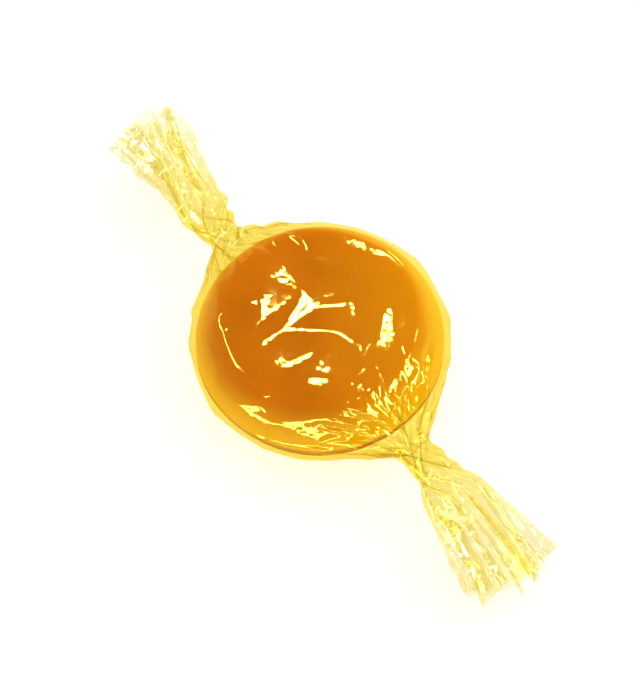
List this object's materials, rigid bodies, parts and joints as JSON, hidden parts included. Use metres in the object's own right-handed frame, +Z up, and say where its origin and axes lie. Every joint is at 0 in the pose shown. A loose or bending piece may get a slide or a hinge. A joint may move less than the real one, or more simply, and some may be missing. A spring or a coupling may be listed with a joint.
{
  "type": "wrapped butterscotch disc",
  "caption": "Round hard butterscotch candy disc in a tight clear yellow film wrap, twisted shut and fanned out at both ends.",
  "frame": {"origin": "centre of the flat spot under the disc that the wrapped candy rests on", "axes": "+X along the two twists, +Z up through the disc's faces, Y across the disc"},
  "size_m": [0.0653, 0.0264, 0.0114],
  "materials": {
    "candy": "glossy translucent amber hard candy",
    "film": "clear yellow cellophane, glossy and creased"
  },
  "bodies": {
    "root": {"candy": "candy", "wrapper": "film"}
  },
  "joints": []
}
